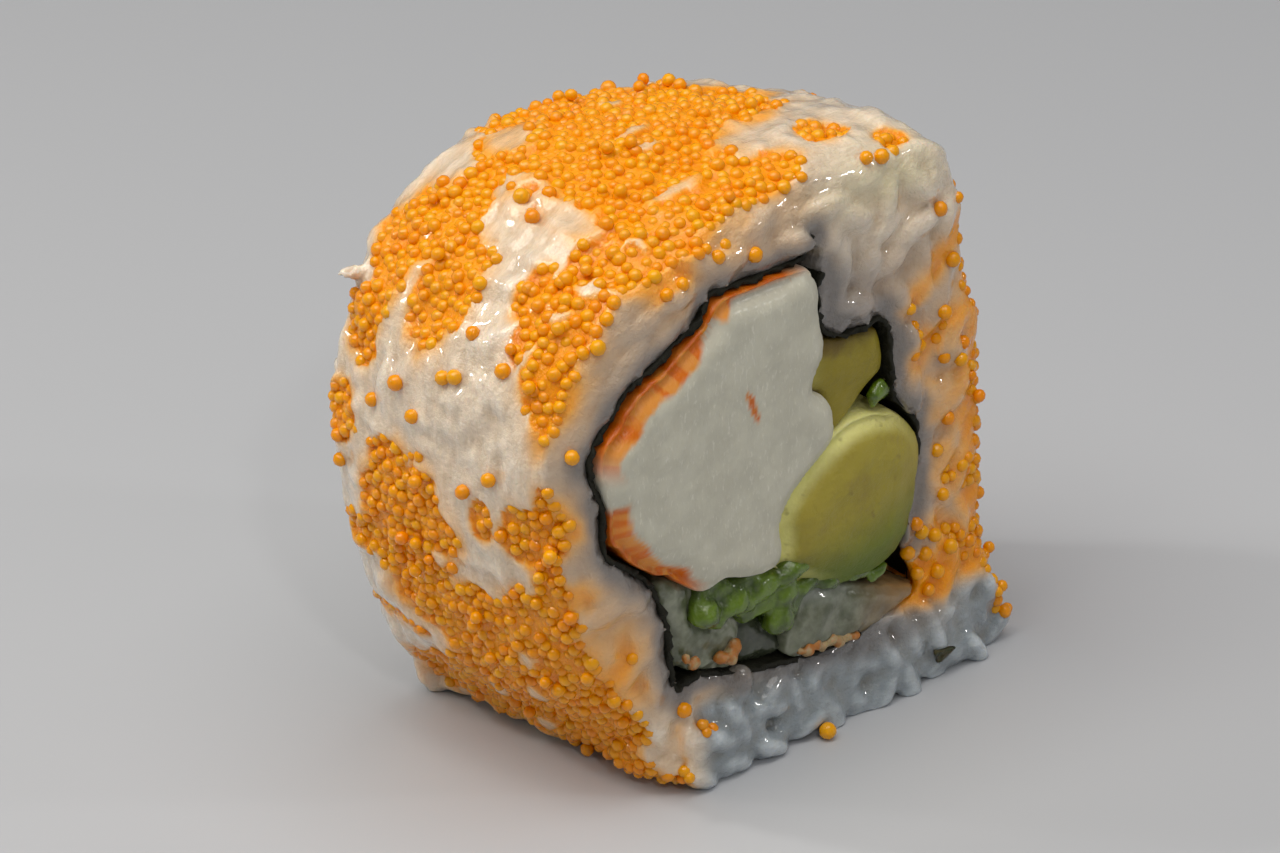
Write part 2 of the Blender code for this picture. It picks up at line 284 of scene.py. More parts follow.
def scattered(shape, matrices):
    """A bmesh with a copy of the small mesh at each matrix."""
    bm = bmesh.new()
    for matrix in matrices:
        copy = shape.copy()
        copy.transform(matrix)
        bm.from_mesh(copy)
        bpy.data.meshes.remove(copy)
    return bm


def facing(place, outwards, along, size):
    """A matrix that puts a unit shape at a place, its X along one way and its Z outwards."""
    up = Vector(outwards).normalized()
    side = up.cross(Vector(along)).normalized()
    ahead = side.cross(up)
    turn = Matrix((ahead, side, up)).transposed().to_4x4()
    return Matrix.Translation(place) @ turn @ Matrix.Diagonal((*size, 1.0))


def ball(name, around, up):
    """A unit sphere with so many faces round it and from pole to pole."""
    bm = bmesh.new()
    bmesh.ops.create_uvsphere(bm, u_segments=around, v_segments=up, radius=1.0)
    return as_mesh(name, bm)


# ---------------------------------------------------------------- places on the roll


def angles(points):
    """Each point's angle about the roll's axis, in degrees from +X over the top."""
    return np.degrees(np.arctan2(points[:, 2] - AXIS.z, points[:, 0] - AXIS.x)) % 360


def nearness(points, spots):
    """How far inside the nearest of the oval spots each point lies: 1 is its middle."""
    turn = angles(points)
    best = np.full(len(points), -9.0)
    for angle, y, half_angle, half_y in spots:
        across = ((turn - angle + 180) % 360 - 180) / half_angle
        along = (points[:, 1] / MM - y) / half_y
        best = np.maximum(best, 1 - np.hypot(across, along))
    return best


def roe_cover(points, on_cut):
    """From 0 for clean rice to 1 for a full bed of roe. Cuts are clean but for their rims."""
    beds = nearness(points, ROE_BEDS)
    smears = nearness(points, RICE_SMEARS)
    near = np.flatnonzero(beds > -0.8)
    smears[near] += 0.55 * ripple(points[near], (1.4 * MM, 0.6 * MM, 1.4 * MM), 46)
    level = np.minimum(beds, -0.05 - 1.5 * smears) - on_cut
    ragged = 0.34 * ripple(points[near], 1.5 * MM, 1) + 0.20 * ripple(points[near], 0.7 * MM, 2)
    level[near] += ragged
    return smooth_step(-0.12, 0.10, level)


# ---------------------------------------------------------------- finishes


class Num:
    """A number that varies over a material. Python's operators add the Math nodes."""

    def __init__(self, finish, socket):
        self.finish = finish
        self.socket = socket

    def __add__(self, other):
        return self.finish.math("ADD", self, other)

    def __sub__(self, other):
        return self.finish.math("SUBTRACT", self, other)

    def __rsub__(self, other):
        return self.finish.math("SUBTRACT", other, self)

    def __mul__(self, other):
        return self.finish.math("MULTIPLY", self, other)

    __radd__ = __add__
    __rmul__ = __mul__


class Finish:
    """A material being made up, node by node."""

    def __init__(self, name, **constants):
        self.material = bpy.data.materials.new(name)
        self.material.use_nodes = True
        self.tree = self.material.node_tree
        self.tree.nodes.clear()
        sockets = {key.replace("_", " "): value for key, value in constants.items()}
        self.shader = self.add("ShaderNodeBsdfPrincipled", {}, sockets)
        surface = {"Surface": self.shader.outputs["BSDF"]}
        self.add("ShaderNodeOutputMaterial", {}, surface)
        self.here = self.add("ShaderNodeTexCoord").outputs["Object"]

    def add(self, kind, settings=None, sockets=None):
        """Adds a node: first its settings, then the values or links of its sockets."""
        node = self.tree.nodes.new(kind)
        for name, value in (settings or {}).items():
            if name == "stops":
                self.set_stops(node.color_ramp, value)
            else:
                setattr(node, name, value)
        for name, value in (sockets or {}).items():
            self.feed(node.inputs[name], value)
        return node

    def set_stops(self, ramp, stops):
        for _ in stops[2:]:
            ramp.elements.new(0.5)
        for element, (position, colour) in zip(ramp.elements, stops):
            element.position = position
            element.color = (*colour, 1.0)

    def feed(self, socket, value):
        source = value.socket if isinstance(value, Num) else value
        if isinstance(source, bpy.types.NodeSocket):
            self.tree.links.new(source, socket)
        elif socket.type == "RGBA" and len(source) == 3:
            socket.default_value = (*source, 1.0)
        else:
            socket.default_value = source

    def math(self, operation, *values):
        sockets = dict(enumerate(values))
        node = self.add("ShaderNodeMath", {"operation": operation}, sockets)
        return Num(self, node.outputs[0])

    def painted(self, name):
        """A number stored on the mesh."""
        node = self.add("ShaderNodeAttribute", {"attribute_name": name})
        return Num(self, node.outputs["Fac"])

    def grain(self, size, detail=2.0, stretch=None, sharp=0.5):
        """Noise from 0 to 1 with features of the given size, drawn out by the stretch."""
        where = self.here
        if stretch:
            where = self.add(
                "ShaderNodeMapping", {}, {"Vector": where, "Scale": stretch}
            ).outputs[0]
        node = self.add(
            "ShaderNodeTexNoise",
            {},
            {"Vector": where, "Scale": 1 / size, "Detail": detail, "Roughness": sharp},
        )
        return Num(self, node.outputs["Fac"])

    def between(self, low, high, value):
        """0 below the low value, 1 above the high one and smooth from one to the other."""
        node = self.add(
            "ShaderNodeMapRange",
            {"interpolation_type": "SMOOTHSTEP"},
            {"Value": value, "From Min": low, "From Max": high},
        )
        return Num(self, node.outputs["Result"])

    def mix(self, share, first, second, blend="MIX"):
        node = self.add(
            "ShaderNodeMix",
            {"data_type": "RGBA", "blend_type": blend},
            {0: share, 6: first, 7: second},
        )
        return node.outputs[2]

    def ramp(self, value, stops):
        node = self.add("ShaderNodeValToRGB", {"stops": stops}, {"Fac": value})
        return node.outputs["Color"]

    def relief(self, height, depth, strength=1.0):
        """Bumps on the finish: the height runs from 0 to 1 over the depth."""
        node = self.add(
            "ShaderNodeBump", {}, {"Height": height, "Distance": depth, "Strength": strength}
        )
        self.feed(self.shader.inputs["Normal"], node.outputs["Normal"])

    def set(self, **sockets):
        for name, value in sockets.items():
            self.feed(self.shader.inputs[name.replace("_", " ")], value)


def rice_finish():
    """Moist rice: translucent and glistening, stained by the roe, and grey at the nori, partly the
    nori showing through and partly painted shade.
    """
    finish = Finish(
        "rice",
        Subsurface_Weight=0.55,
        Subsurface_Radius=(1.0, 0.75, 0.50),
        Subsurface_Scale=0.6 * MM,
        IOR=1.40,
        Coat_Roughness=0.08,
    )
    stain = finish.painted("stain")
    along_bands = (0.6, 1.9, 0.6)
    cloud = finish.grain(1.7 * MM, 4.0, along_bands, 0.6)
    flecks = finish.grain(0.9 * MM, 3.0, along_bands, 0.6)
    fine = finish.grain(0.40 * MM, 3.0, sharp=0.65)
    colour = finish.mix(finish.between(0.38, 0.62, cloud), (0.84, 0.71, 0.55), (0.70, 0.58, 0.44))
    colour = finish.mix(finish.between(0.56, 0.72, flecks) * 0.6, colour, (0.90, 0.78, 0.62))
    # Proud lumps are painted whiter: partly the grains' white cores, partly a painted highlight.
    colour = finish.mix(finish.painted("ridge") * 0.45, colour, (0.93, 0.88, 0.80))
    # Painted shade over the cut face, but for its lit upper right.
    colour = finish.mix(finish.painted("cut") * 0.85, colour, (0.53, 0.39, 0.27))
    # The foot of the cut and the notch are painted dark blue-grey: partly glassy grains, partly
    # painted shade.
    glassy = finish.painted("glassy")
    colour = finish.mix(glassy * 0.92, colour, (0.22, 0.27, 0.305))
    colour = finish.mix(glassy * finish.painted("ridge") * 0.8, colour, (0.70, 0.76, 0.80))
    colour = finish.mix(finish.painted("green_tint") * 0.45, colour, (0.72, 0.68, 0.38))
    # Painted shade: dark grey beside the nori, in the notch and on the channel wall, partly the
    # dark nori showing through the rice.
    colour = finish.mix(finish.painted("beside_nori") * 0.9, colour, (0.17, 0.157, 0.15))
    colour = finish.mix(finish.between(0.02, 0.60, stain), colour, (0.90, 0.45, 0.09))
    colour = finish.mix(finish.between(0.35, 0.75, stain), colour, (0.98, 0.34, 0.0))
    # Painted shade: the hollows between the lumps are darkened.
    colour = finish.mix(finish.painted("hollow") * 0.8, colour, (0.72, 0.60, 0.46), "MULTIPLY")
    finish.set(
        Base_Color=colour,
        Roughness=0.12 + 0.22 * cloud,
        Coat_Weight=1.0 - 0.75 * finish.between(0.35, 0.75, stain),
    )
    streaks = finish.grain(0.75 * MM, 4.0, (0.5, 2.0, 0.5), 0.65)
    finish.relief(0.55 * streaks + 0.45 * fine, 0.32 * MM, 1.0)
    return finish.material


def roe_finish():
    """Small wet eggs: clear orange skins that light goes into."""
    finish = Finish(
        "roe",
        Transmission_Weight=0.22,
        IOR=1.30,
        Coat_Roughness=0.04,
        Roughness=0.10,
        Coat_Weight=0.5,
    )
    colour = finish.ramp(
        finish.painted("tone"),
        [(0.0, (1.0, 0.32, 0.0)), (0.5, (1.0, 0.40, 0.0)), (1.0, (1.0, 0.48, 0.002))],
    )
    finish.set(Base_Color=colour)
    return finish.material


def nori_finish():
    """Damp seaweed, nearly black and finely rough."""
    finish = Finish("nori", IOR=1.33)
    blotch = finish.grain(0.5 * MM, 4.0)
    finish.set(
        Base_Color=finish.mix(blotch, (0.004, 0.005, 0.003), (0.022, 0.020, 0.010)),
        Roughness=0.45 + 0.35 * blotch,
    )
    finish.relief(finish.grain(0.18 * MM, 4.0), 0.12 * MM, 0.9)
    return finish.material


def crab_finish():
    """White pressed fish with an orange skin that is darker in stripes across the edge."""
    finish = Finish(
        "crab_stick",
        Subsurface_Weight=0.4,
        Subsurface_Radius=(1.0, 0.90, 0.70),
        Subsurface_Scale=0.5 * MM,
        IOR=1.40,
        Coat_Weight=0.10,
        Coat_Roughness=0.15,
    )
    skin = finish.painted("skin")
    rim = finish.painted("skin_edge")
    mottle = finish.grain(1.6 * MM, 4.0)
    fibre = finish.grain(0.22 * MM, 3.0, (1.0, 1.0, 0.35), 0.65)
    flesh = finish.mix(finish.between(0.35, 0.65, mottle), (0.61, 0.59, 0.48), (0.55, 0.53, 0.43))
    flesh = finish.mix(finish.between(0.55, 0.72, fibre) * 0.45, flesh, (0.82, 0.80, 0.69))
    stripe = finish.between(0.40, 0.56, finish.painted("stripe"))
    orange = finish.mix(stripe, (0.78, 0.31, 0.045), (0.72, 0.17, 0.001))
    orange = finish.mix(rim, orange, (0.50, 0.09, 0.002))
    finish.set(
        Base_Color=finish.mix(skin, flesh, orange),
        Roughness=0.50 - 0.20 * skin,
    )
    torn = finish.grain(0.5 * MM, 4.0, (1.0, 1.0, 0.5), 0.7)
    finish.relief(0.5 * fibre + 0.5 * torn, 0.12 * MM, 0.8)
    return finish.material


def avocado_finish():
    """Oily flesh from yellow to green, with a few brown spots and stains."""
    finish = Finish(
        "avocado",
        Subsurface_Weight=0.45,
        Subsurface_Radius=(0.9, 1.0, 0.3),
        Subsurface_Scale=0.9 * MM,
        IOR=1.42,
    )
    green = finish.painted("green")
    pale = finish.painted("pale_edge")
    brown = finish.painted("brown_edge")
    cloud = finish.grain(3.0 * MM, 3.0)
    spots = finish.between(0.68, 0.78, finish.grain(1.3 * MM, 2.0))
    stains = finish.between(0.52, 0.70, finish.grain(2.4 * MM, 4.0))
    colour = finish.mix(cloud, (0.41, 0.34, 0.045), (0.33, 0.27, 0.033))
    colour = finish.mix(stains * 0.40, colour, (0.27, 0.20, 0.045))
    colour = finish.mix(finish.painted("olive"), colour, (0.29, 0.23, 0.014))
    colour = finish.mix(green, colour, (0.11, 0.17, 0.010))
    # Painted highlight: paler along the edge that faces the light.
    colour = finish.mix(pale, colour, (0.82, 0.79, 0.30))
    colour = finish.mix(spots * 0.5, colour, (0.18, 0.13, 0.03))
    colour = finish.mix(brown, colour, (0.10, 0.05, 0.010))
    finish.set(Base_Color=colour, Roughness=0.30 + 0.2 * cloud)
    finish.relief(finish.grain(0.45 * MM, 5.0, sharp=0.65), 0.16 * MM, 0.8)
    return finish.material


def mash_finish():
    """Wet crushed avocado, with painted shade in its hollows."""
    finish = Finish(
        "avocado_mash",
        Subsurface_Weight=0.35,
        Subsurface_Radius=(0.7, 1.0, 0.25),
        Subsurface_Scale=0.6 * MM,
        IOR=1.42,
        Coat_Roughness=0.05,
        Coat_Weight=0.7,
    )
    hollow = finish.painted("hollow")
    cloud = finish.grain(1.2 * MM, 4.0)
    patches = finish.between(0.35, 0.65, finish.grain(1.5 * MM, 4.0))
    colour = finish.mix(patches, (0.12, 0.20, 0.008), (0.045, 0.08, 0.004))
    # Painted shade: the hollows are darkened.
    colour = finish.mix(hollow, colour, (0.016, 0.040, 0.005))
    finish.set(Base_Color=colour, Roughness=0.16 + 0.2 * cloud)
    finish.relief(finish.grain(0.4 * MM, 4.0), 0.14 * MM, 0.8)
    return finish.material


def cucumber_finish():
    """Wet, glassy flesh, paler at the top and stained orange towards the roe."""
    finish = Finish(
        "cucumber",
        Subsurface_Weight=0.7,
        Subsurface_Radius=(0.9, 1.0, 0.85),
        Subsurface_Scale=1.2 * MM,
        Transmission_Weight=0.25,
        IOR=1.36,
        Coat_Roughness=0.04,
        Coat_Weight=0.7,
    )
    cloud = finish.grain(1.4 * MM, 3.0)
    dark = finish.painted("dark")
    colour = finish.mix(finish.between(0.3, 0.7, cloud), (0.42, 0.44, 0.32), (0.16, 0.18, 0.10))
    colour = finish.mix(finish.painted("pale"), colour, (0.62, 0.66, 0.58))
    colour = finish.mix(finish.painted("orange"), colour, (0.52, 0.26, 0.07))
    colour = finish.mix(dark, colour, (0.045, 0.055, 0.030))
    finish.set(Base_Color=colour, Roughness=0.16 + 0.14 * cloud)
    finish.relief(finish.grain(0.5 * MM, 3.0), 0.14 * MM, 0.6)
    return finish.material


def crumb_finish(name, colour, other):
    """A torn or browned bit, blotched in two colours."""
    finish = Finish(name, Subsurface_Weight=0.3, Subsurface_Scale=0.4 * MM, IOR=1.4)
    blotch = finish.grain(0.9 * MM, 3.0)
    mixed = finish.mix(finish.between(0.4, 0.6, blotch), colour, other)
    finish.set(Base_Color=mixed, Roughness=0.2 + 0.2 * blotch)
    finish.relief(finish.grain(0.2 * MM, 3.0), 0.1 * MM, 0.8)
    return finish.material


# ---------------------------------------------------------------- rice


def nori_distance(points):
    """How far each point is from the sheet of nori, in mm, across the roll."""
    sheet = cad_solid("nori")
    tree = BVHTree.FromBMesh(sheet)
    sheet.free()
    inside = 0.1 * MM
    distances = []
    for x, y, z in points:
        y = min(max(y, CUT_Y[0] + inside), CUT_Y[1] - inside)
        distances.append(tree.find_nearest(Vector((x, y, z)))[3])
    return np.array(distances) / MM


def in_channel(points, facings, from_nori):
    """Where a point is on the channel's wall, which faces the nori and not a cut."""
    middle = (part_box("nori")[0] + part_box("nori")[1]) / 2
    inwards = np.array(middle) - points
    inwards[:, 1] = 0
    inwards /= np.linalg.norm(inwards, axis=1)[:, None]
    turned_in = np.sum(inwards * facings, axis=1) > -0.45
    return turned_in & (np.abs(facings[:, 1]) < 0.6) & (from_nori < 0.9)


def spot(points, place):
    """A soft spot on the cuts: 1 in its middle and fading to 0 outside it."""
    (x, z), (half_width, half_height) = place
    across = (points[:, 0] / MM - x) / half_width
    up = (points[:, 2] / MM - z) / half_height
    return np.exp(-(across**2) - up**2)


def smeared_corner(points):
    """1 in the lower right of the front cut, where rice and roe are smeared over the nori."""
    x = points[:, 0] / MM
    z = points[:, 2] / MM
    corner = smooth_step(7.4, 9.0, x) * smooth_step(17.5, 15.0, z)
    return corner * smooth_step(-9.2 * MM, -10.2 * MM, points[:, 1])


def cut_distance(points):
    """How far each point lies behind the nearer cut."""
    return np.minimum(points[:, 1] - CUT_Y[0], CUT_Y[1] - points[:, 1])


def looseness(points, facings):
    """0 where the rice is mashed smooth, 1 where its grains stand apart."""
    x = points[:, 0] / MM
    y = points[:, 1]
    z = points[:, 2] / MM
    low_band = smooth_step(9.5, 6.0, z) * smooth_step(-10.5, -8.0, x)
    right_wall = smooth_step(11.0, 14.0, x) * smooth_step(34.0, 28.0, z)
    back = smooth_step(4 * MM, 9 * MM, y)
    patches = 0.24 + 0.18 * ripple(points, 5 * MM, 3)
    front_only = smooth_step(2 * MM, -4 * MM, y)
    loose = np.maximum(patches, low_band * (0.35 + 0.65 * front_only))
    loose = np.maximum(loose, right_wall * (0.30 + 0.1 * front_only))
    on_cut = smooth_step(0.75, 0.97, np.abs(facings[:, 1]))
    loose = np.maximum(loose, on_cut * (0.60 + 0.25 * ripple(points, 3 * MM, 47)))
    return np.clip(np.maximum(loose, back * 0.45), 0, 1)


def grains_on(solid, draws):
    """Where grains lie in the jacket's surface: a matrix for each."""
    points, facings = surface_points(solid, GRAIN_TRIES, draws)
    outer = (points[:, 2] > 0.3 * MM) & (nori_distance(points) > GRAIN_TO_NORI)
    points = points[outer]
    facings = facings[outer]
    kept = spaced_out(points, GRAIN_SPACING)
    points = points[kept]
    facings = facings[kept]
    loose = looseness(points, facings)
    skin = skin_of(solid)
    matrices = []
    for point, out, free in zip(points, facings, loose):
        tilt = Vector(draws.normal(size=3)) * (0.10 + 0.35 * free)
        size = [s * draws.uniform(0.85, 1.12) for s in GRAIN_SIZE]
        depth = size[2] * (1.05 - 0.45 * free) + 0.12 * MM
        # Grains at the rims of the cuts lie deeper and flatter.
        if abs(point[1]) > 7.5 * MM and abs(out[1]) < 0.97 and point[2] > 8 * MM:
            depth += 0.35 * MM
            tilt *= 0.3
        place = Vector(point) - Vector(out) * depth
        place.z = max(place.z, size[2] * 0.9)
        ways = [Vector(draws.normal(size=3) * (1.0, 0.7, 1.0)) for _ in range(6)]
        choices = [facing(place, Vector(out) + tilt, way, size) for way in ways]
        matrices.append(min(choices, key=lambda matrix: overhang(skin, matrix)))
    return matrices


def overhang(skin, matrix):
    """How far the ends of a grain stick out of the solid it lies in."""
    half = matrix.col[0].xyz * 0.85
    ends = (matrix.translation + half, matrix.translation - half)
    nearest = [skin.find_nearest(end) for end in ends]
    return max((end - hit[0]).dot(hit[1]) for end, hit in zip(ends, nearest))


def foot_grains(draws):
    """Two rows of grains that stick out along the foot of the front cut, and a proud one."""
    matrices = []
    for x in np.arange(-8.0, 19.0, 1.35):
        for level, behind, steepness in FOOT_ROWS:
            along = Vector((draws.uniform(-1, 1), draws.uniform(-0.5, 0.2), draws.uniform(0.2, 1)))
            along.z *= steepness
            place = Vector((
                (x + draws.uniform(-0.5, 0.5)) * MM,
                CUT_Y[0] + (behind + draws.uniform(-0.5, 0.4)) * MM,
                (level + draws.uniform(-0.15, 0.5)) * MM,
            ))
            size = [s * draws.uniform(0.75, 1.05) for s in GRAIN_SIZE]
            matrices.append(facing(place, (0, -1, 0.15), along, size))
    size = [s * 0.55 for s in GRAIN_SIZE]
    proud = facing(Vector(PROUD_GRAIN), (0.3, 0, 1), (-1, 0.2, 0.35), size)
    return [*matrices, proud]


def make_rice():
    """The jacket: real grains over a smaller core, mashed together where they were pressed."""
    draws = np.random.default_rng(SEED)
    solid = as_mesh("rice_solid", cad_solid("rice"))
    grain = ball("grain", 10, 8)
    core = fused("core", cad_solid("rice"), CORE_VOXEL, 1)
    points = places(core)
    outs = normals(core)
    from_nori = nori_distance(points)
    wall = in_channel(points, outs, from_nori)
    reach = NORI_REACH + 0.75 * MM * smeared_corner(points)
    away = smooth_step(0.8, 1.9, from_nori)
    inset = np.where(wall, -reach, (0.10 + 0.75 * looseness(points, outs) * away) * MM)
    inset[(points[:, 2] < 0.4 * MM)] = 0
    move_to(core, points - outs * inset[:, None])
    bm = scattered(grain, grains_on(solid, draws) + foot_grains(draws))
    bm.from_mesh(core)
    rice = fused("rice_packed", bm, RICE_VOXEL, 1)
    shape_rice(rice)
    return rice


def shape_rice(rice):
    """Presses the beds of roe into the rice and stores what its finish reads."""
    points = places(rice)
    outs = normals(rice)
    on_cut = smooth_step(0.55, 0.9, np.abs(outs[:, 1]))
    from_nori = nori_distance(points)
    wall = in_channel(points, outs, from_nori)
    cover = roe_cover(points, on_cut * 1.2)
    cover[wall] = 0
    streak = ripple(points, (3.2 * MM, 0.7 * MM, 3.2 * MM), 4)
    lumps = ripple(points, 1.5 * MM, 5)
    fine = ripple(points, 0.62 * MM, 40)
    lift = (0.10 * streak * (1 - on_cut) + 0.10 * lumps + 0.05 * fine) * MM
    lift -= BED_DEPTH * cover
    lift[wall] *= 0.3
    points = points + outs * lift[:, None]
    points[:, 2] = np.maximum(points[:, 2], 0.02 * MM)
    move_to(rice, points)
    store_lumps(rice)
    store_colours(rice, on_cut, from_nori, wall, cover)


def store_lumps(rice):
    """Stores where the surface dips between grains, for painted shade there, and where it stands
    proud, for a whiter core with a painted highlight.
    """
    even = smoothed(rice, 12)
    sunk = np.sum((even - places(rice)) * normals(rice), axis=1) / (0.20 * MM)
    paint(rice, "hollow", np.clip(sunk, 0, 1))
    paint(rice, "ridge", np.clip(-1.1 * sunk - 0.15, 0, 1))


def store_colours(rice, on_cut, from_nori, wall, cover):
    """Stores where the rice is stained; grey beside the nori, partly painted shade; glassy and in
    painted shade at the foot; green; and in painted shade on the cut.
    """
    points = places(rice)
    x = points[:, 0] / MM
    z = points[:, 2] / MM
    front = smooth_step(-5 * MM, -9 * MM, points[:, 1])
    corner = spot(points, ROE_SMEAR) * front
    notch = spot(points, NORI_NOTCH) * front
    foot = smooth_step(7.0, 5.2, z) * smooth_step(-9.0, -6.5, x) * front
    out_of_corner = 1 - np.clip(corner, 0, 1)
    at_cut = smooth_step(2.0 * MM, 0.6 * MM, cut_distance(points))
    # Painted shade beside the nori, in the notch and on the channel wall, partly the nori showing
    # through. The corner smear is left out.
    nori_show_and_shade = smooth_step(2.1, 0.3, from_nori + 0.6 * ripple(points, 1.8 * MM, 48)) * at_cut
    nori_show_and_shade = np.clip(nori_show_and_shade + notch * 0.5 + wall * 0.8, 0, 1) * out_of_corner
    stain = roe_stain(points, on_cut, cover, front, corner)
    stain *= 1 - 0.85 * foot * smooth_step(0.6, 0.25, corner)
    stain *= 1 - 0.9 * nori_show_and_shade
    stain *= smooth_step(0.9 * MM, 1.8 * MM, np.linalg.norm(points - PROUD_GRAIN, axis=1))
    smears = np.clip(nearness(points, RICE_SMEARS) * 2, 0, 1) * (1 - on_cut)
    paint(rice, "stain", np.clip(stain * (1 - 0.42 * smears), 0, 1))
    paint(rice, "beside_nori", nori_show_and_shade)
    # Glassiness and painted shade at the foot of the cut and in the notch.
    paint(rice, "glassy", np.clip(foot + 0.4 * notch, 0, 1) * out_of_corner)
    paint(rice, "green_tint", spot(points, GREEN_TINT) * front)
    # The cut face is painted darker and browner than the outside, as painted shade, but for its
    # upper right, where the light falls.
    lit = smooth_step(31.0, 35.0, z) * smooth_step(2.0, 6.0, x)
    paint(rice, "cut", on_cut * smooth_step(5.0, 8.0, z) * (1 - 0.9 * lit))


def roe_stain(points, on_cut, cover, front, corner):
    """How much colour has run out of the beds, over the right side and into the smear."""
    x = points[:, 0] / MM
    z = points[:, 2] / MM
    beds = nearness(points, ROE_BEDS) + 0.30 * ripple(points, (2.4 * MM, 1.3 * MM, 2.4 * MM), 6)
    beds -= 0.35 * on_cut
    stain = 0.22 * smooth_step(-1.2, 0.0, beds) + 0.36 * smooth_step(-0.45, 0.25, beds)
    stain = np.maximum(stain, cover)
    side = smooth_step(14.2, 19.0, x + 1.8 * ripple(points, 2.2 * MM, 41))
    side *= smooth_step(35, 30, z) * smooth_step(3.5, 7.5, z)
    stain = np.maximum(stain, side * (0.25 + 0.45 * front))
    return np.maximum(stain, np.clip(1.25 * corner, 0, 0.92))


def smoothed(mesh, rounds):
    """Where the mesh's vertices would be if its lumps were smoothed away."""
    bm = bmesh.new()
    bm.from_mesh(mesh)
    smooth(bm, rounds)
    points = np.array([v.co for v in bm.verts], float)
    bm.free()
    return points


# ---------------------------------------------------------------- roe


def skin_of(mesh):
    """The mesh's surface, made ready for finding places on it."""
    bm = bmesh.new()
    bm.from_mesh(mesh)
    tree = BVHTree.FromBMesh(bm)
    bm.free()
    return tree


def outside_place(tree, angle, y):
    """Where a line from far outside meets the rice at that angle and y."""
    turn = math.radians(angle)
    out = Vector((math.cos(turn), 0, math.sin(turn)))
    place, normal, _, _ = tree.ray_cast(AXIS + Vector((0, y * MM, 0)) + out * 60 * MM, -out)
    return place, normal


def cut_place(tree, x, z):
    """Where the front cut is, at so many mm across and up."""
    start = Vector((x * MM, CUT_Y[0] - 20 * MM, z * MM))
    place, normal, _, _ = tree.ray_cast(start, Vector((0, 1, 0)))
    return place, normal


def bed_eggs(rice, draws):
    """The eggs in the beds and a few on top of them, each a middle and a radius."""
    points, outs = surface_points(rice, ROE_TRIES, draws)
    near_bed = nearness(points, ROE_BEDS) > -0.5
    points = points[near_bed]
    outs = outs[near_bed]
    on_cut = smooth_step(0.6, 0.9, np.abs(outs[:, 1]))
    # On the right the roe comes round the rim of the cut.
    right = smooth_step(12.5 * MM, 17 * MM, points[:, 0])
    rim = right * smooth_step(34 * MM, 30 * MM, points[:, 2])
    cover = roe_cover(points, on_cut * (1.3 - 0.80 * rim))
    free = (nori_distance(points) > ROE_TO_NORI) & (points[:, 2] > 0.75 * MM)
    free &= np.linalg.norm(points - PROUD_GRAIN, axis=1) > 1.3 * MM
    chosen = free & (cover > draws.random(len(points)) * 0.5 + 0.2)
    points = points[chosen]
    outs = outs[chosen]
    kept = spaced_out(points, ROE_SPACING)
    eggs = []
    for point, out in zip(points[kept], outs[kept]):
        radius = ROE_RADIUS * draws.uniform(0.84, 1.14)
        rise = draws.uniform(-0.60, 0.05) * radius
        eggs.append((Vector(point) + Vector(out) * rise, radius))
        if draws.random() < 0.03:
            side = Vector(draws.normal(size=3)) * 0.3 * radius
            eggs.append((Vector(point) + Vector(out) * 1.1 * radius + side, radius * 0.95))
    return eggs


def make_roe(rice):
    """All the eggs: the beds, the single ones and one that has rolled off."""
    draws = np.random.default_rng(SEED + 1)
    eggs = bed_eggs(rice, draws)
    tree = skin_of(rice)
    lone = [outside_place(tree, angle, y) for angle, y in LONE_EGGS]
    lone += [cut_place(tree, x, z) for x, z in LONE_EGGS_ON_CUT]
    for place, out in lone:
        if place is not None:
            radius = ROE_RADIUS * draws.uniform(1.05, 1.22)
            eggs.append((place + out * 0.25 * radius, radius))
    x, ahead, radius = (part * MM for part in FALLEN_EGG)
    eggs.append((Vector((x, CUT_Y[0] - ahead, radius)), radius))
    egg = ball("egg", 10, 5)
    matrices = []
    for place, radius in eggs:
        place.z = max(place.z, radius * 1.02)
        turn = Matrix.Rotation(draws.uniform(0, math.tau), 4, Vector(draws.normal(size=3)))
        size = [radius * draws.uniform(0.94, 1.06) for _ in range(3)]
        matrices.append(Matrix.Translation(place) @ turn @ Matrix.Diagonal((*size, 1.0)))
    mesh = as_mesh("roe", scattered(egg, matrices))
    paint(mesh, "tone", np.repeat(draws.beta(2.2, 2.2, len(matrices)), len(egg.vertices)))
    return mesh


# ---------------------------------------------------------------- filling


def make_nori():
    """The sheet, its cut edges ragged."""
    bm = cad_solid("nori")
    for y, outer in ((CUT_Y[0], -1), (CUT_Y[1], 1)):
        for depth in (0.35, 0.8, 1.5, 3.0):
            geometry = list(bm.verts) + list(bm.edges) + list(bm.faces)
            bmesh.ops.bisect_plane(
                bm, geom=geometry, dist=1e-7,
                plane_co=(0, y - outer * depth * MM, 0), plane_no=(0, 1, 0),
            )
    rims = [
        e for e in bm.edges
        if max(min(abs(v.co.y - y) for y in CUT_Y) for v in e.verts) < 1.6 * MM
        and e.calc_length() > 0.35 * MM
    ]
    bmesh.ops.subdivide_edges(bm, edges=rims, cuts=2, use_grid_fill=True)
    bmesh.ops.triangulate(bm, faces=[f for f in bm.faces if len(f.verts) > 4])
    mesh = as_mesh("nori_sheet", bm)
    points = places(mesh)
    outs = normals(mesh)
    rim = np.maximum(
        smooth_step(CUT_Y[0] + 1.6 * MM, CUT_Y[0], points[:, 1]),
        smooth_step(CUT_Y[1] - 1.6 * MM, CUT_Y[1], points[:, 1]),
    )
    side = np.sign(points[:, 1])
    ragged = 0.40 * ripple(points, 0.5 * MM, 7) + 0.20 * ripple(points, 1.6 * MM, 8) - 0.16
    points[:, 1] += side * rim * ragged * MM + 1.0 * MM * smeared_corner(points)
    flat_outs = outs.copy()
    flat_outs[:, 1] = 0
    waves = 0.16 * ripple(points, 0.8 * MM, 9) + 0.16 * ripple(points, 0.35 * MM, 10)
    points += flat_outs * (rim * waves * MM)[:, None]
    move_to(mesh, points)
    return mesh


